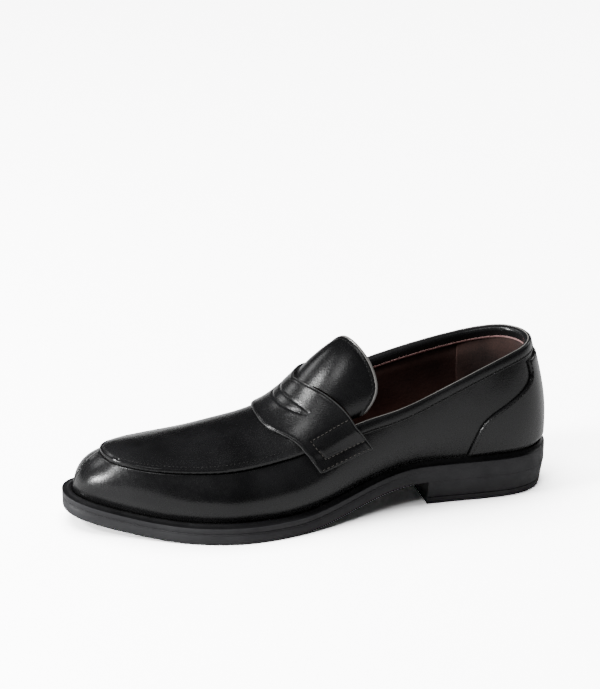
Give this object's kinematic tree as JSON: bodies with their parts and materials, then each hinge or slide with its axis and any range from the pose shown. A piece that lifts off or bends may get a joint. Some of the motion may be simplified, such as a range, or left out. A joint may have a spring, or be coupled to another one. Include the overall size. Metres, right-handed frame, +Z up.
{
  "type": "penny loafer shoe",
  "caption": "Men's black leather penny loafer for the left foot: apron toe, saddle strap with a lens-shaped slot, tongue, bound topline, heel foxing, welted rubber sole with a low block heel.",
  "frame": {"origin": "on the floor plane, under the middle of the shoe's bounding box", "axes": "+X from the heel to the toe, +Y towards the outer (lateral) side, +Z up"},
  "size_m": [0.3, 0.1049, 0.1037],
  "materials": {
    "black_rubber": "matte moulded rubber",
    "black_leather": "polished smooth calf leather",
    "burgundy_leather": "dark brown lining leather, matte",
    "suede": "brown reversed leather, napped",
    "fibre_board": "pressed fibre, matte",
    "cork": "granulated cork, matte",
    "foam": "soft foam",
    "steel": "plain steel",
    "thread": "waxed black thread"
  },
  "bodies": {
    "shoe": {"outsole": "black_rubber", "welt": "black_rubber", "heel_block": "black_rubber", "top_lift": "black_rubber", "heel_nail_1": "steel", "heel_nail_2": "steel", "heel_nail_3": "steel", "heel_nail_4": "steel", "heel_nail_5": "steel", "shank": "steel", "cork_filler": "cork", "insole_board": "fibre_board", "heel_pad": "foam", "sock_liner": "burgundy_leather", "lateral_side": "black_leather", "medial_side": "black_leather", "apron": "black_leather", "saddle_strap": "black_leather", "heel_foxing": "black_leather", "topline_binding": "black_leather", "quarter_lining_lateral": "burgundy_leather", "quarter_lining_medial": "burgundy_leather", "heel_grip": "suede", "vamp_lining": "burgundy_leather", "heel_counter": "fibre_board", "toe_puff": "fibre_board", "strap_stitching_lateral": "thread", "strap_stitching_medial": "thread", "topline_stitching": "thread", "foxing_stitching_lateral": "thread", "foxing_stitching_medial": "thread"},
    "tongue": {"tongue": "black_leather", "tongue_lining": "burgundy_leather", "tongue_stitching": "thread"}
  },
  "joints": [
    {"name": "tongue_flex", "type": "hinge", "parent": "shoe", "child": "tongue", "pos_m": [0.0068, 0, 0.0806], "axis": [0, 1, 0], "range_deg": [-3, 15], "stiffness_Nm_per_rad": 0.25}
  ]
}
